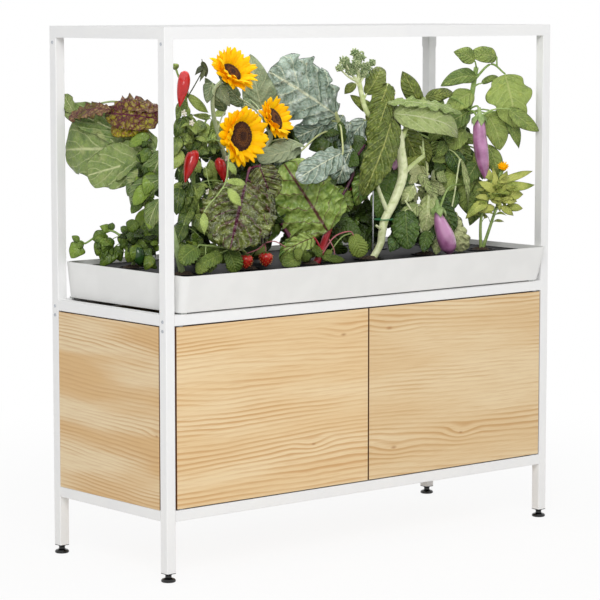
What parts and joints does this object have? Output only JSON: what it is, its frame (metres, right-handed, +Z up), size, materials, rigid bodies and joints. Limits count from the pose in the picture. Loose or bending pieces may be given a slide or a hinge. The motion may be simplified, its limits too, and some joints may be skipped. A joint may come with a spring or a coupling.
{
  "type": "indoor shelf garden",
  "caption": "Indoor shelf garden: a square tube stand with a wooden cabinet below, a planting tray of vegetables, herbs and flowers, and a flat lamp hood on posts above.",
  "frame": {"origin": "on the floor at the middle of the whole part, width and depth", "axes": "+X to the right seen from the front, +Y to the back, +Z up"},
  "size_m": [0.9208, 0.3606, 0.943],
  "materials": {
    "white_metal": "satin white powder coat",
    "grey_plastic": "matt",
    "steel": "plain",
    "wood": "clear satin lacquer",
    "board": "satin",
    "clear_sheet": "clear",
    "white_plastic": "satin",
    "clear_rubber": "translucent",
    "black_plastic": "satin",
    "black_foot": "gloss",
    "tank_plastic": "satin",
    "foliage": "leafy"
  },
  "bodies": {
    "frame": {"leg_front_left": "white_metal", "post_front_left": "white_metal", "leg_front_right": "white_metal", "post_front_right": "white_metal", "leg_rear_left": "white_metal", "post_rear_left": "white_metal", "leg_rear_right": "white_metal", "post_rear_right": "white_metal", "bottom_rail_front": "white_metal", "bottom_rail_rear": "white_metal", "bottom_side_rails": "white_metal", "mid_rail_front": "white_metal", "mid_rail_rear": "white_metal", "mid_side_rails": "white_metal", "frame_plugs": "grey_plastic", "frame_screws": "steel", "light_hood": "white_metal", "light_board": "board", "light_diffuser": "clear_sheet", "side_panel_left": "wood", "side_panel_right": "wood", "back_panel": "wood", "cabinet_floor": "wood", "pivot_bushes": "grey_plastic", "latch_bodies": "black_plastic", "foot_caps": "black_plastic", "grow_tray": "white_plastic", "tray_rests": "clear_rubber", "tray_lids": "black_plastic", "net_cups": "black_plastic", "reservoir_tank": "tank_plastic", "reservoir_lid": "tank_plastic", "pump": "black_plastic", "tray_fittings": "black_plastic", "water_pipes": "clear_rubber", "control_box": "white_plastic", "cable_gland": "black_plastic", "collard_plant": "foliage", "pepper_plant": "foliage", "chili_plant": "foliage", "sunflower_plant": "foliage", "chard_plants": "foliage", "strawberry_plants": "foliage", "broccoli_plant": "foliage", "kale_plant": "foliage", "leafy_greens": "foliage", "eggplant_plant": "foliage", "marigold_plant": "foliage", "plant_stake": "steel"},
    "door_left_body": {"door_left": "wood", "door_left_fittings": "steel"},
    "door_right_body": {"door_right": "wood", "door_right_fittings": "steel"},
    "latch_left_body": {"latch_plunger_left": "black_foot"},
    "latch_right_body": {"latch_plunger_right": "black_foot"},
    "flap_body": {"fill_flap": "tank_plastic"},
    "foot_front_left_body": {"foot_front_left": "black_foot"},
    "foot_front_right_body": {"foot_front_right": "black_foot"},
    "foot_rear_left_body": {"foot_rear_left": "black_foot"},
    "foot_rear_right_body": {"foot_rear_right": "black_foot"}
  },
  "joints": [
    {"name": "door_left_hinge", "type": "hinge", "parent": "frame", "child": "door_left_body", "pos_m": [-0.42395, -0.15034, 0.1251], "axis": [0, 0, -1], "range_deg": [0, 105]},
    {"name": "door_right_hinge", "type": "hinge", "parent": "frame", "child": "door_right_body", "pos_m": [0.42395, -0.15034, 0.1251], "axis": [0, 0, 1], "range_deg": [0, 105]},
    {"name": "latch_left_press", "type": "slide", "parent": "frame", "child": "latch_left_body", "axis": [0, 1, 0], "range_m": [0, 0.0024], "stiffness_N_per_m": 400},
    {"name": "latch_right_press", "type": "slide", "parent": "frame", "child": "latch_right_body", "axis": [0, 1, 0], "range_m": [0, 0.0024], "stiffness_N_per_m": 400},
    {"name": "fill_flap_hinge", "type": "hinge", "parent": "frame", "child": "flap_body", "pos_m": [0, 0.05166, 0.33385], "axis": [-1, 0, 0], "range_deg": [0, 100]},
    {"name": "foot_front_left_level", "type": "slide", "parent": "frame", "child": "foot_front_left_body", "axis": [0, 0, -1], "range_m": [0, 0.01]},
    {"name": "foot_front_right_level", "type": "slide", "parent": "frame", "child": "foot_front_right_body", "axis": [0, 0, -1], "range_m": [0, 0.01]},
    {"name": "foot_rear_left_level", "type": "slide", "parent": "frame", "child": "foot_rear_left_body", "axis": [0, 0, -1], "range_m": [0, 0.01]},
    {"name": "foot_rear_right_level", "type": "slide", "parent": "frame", "child": "foot_rear_right_body", "axis": [0, 0, -1], "range_m": [0, 0.01]}
  ]
}
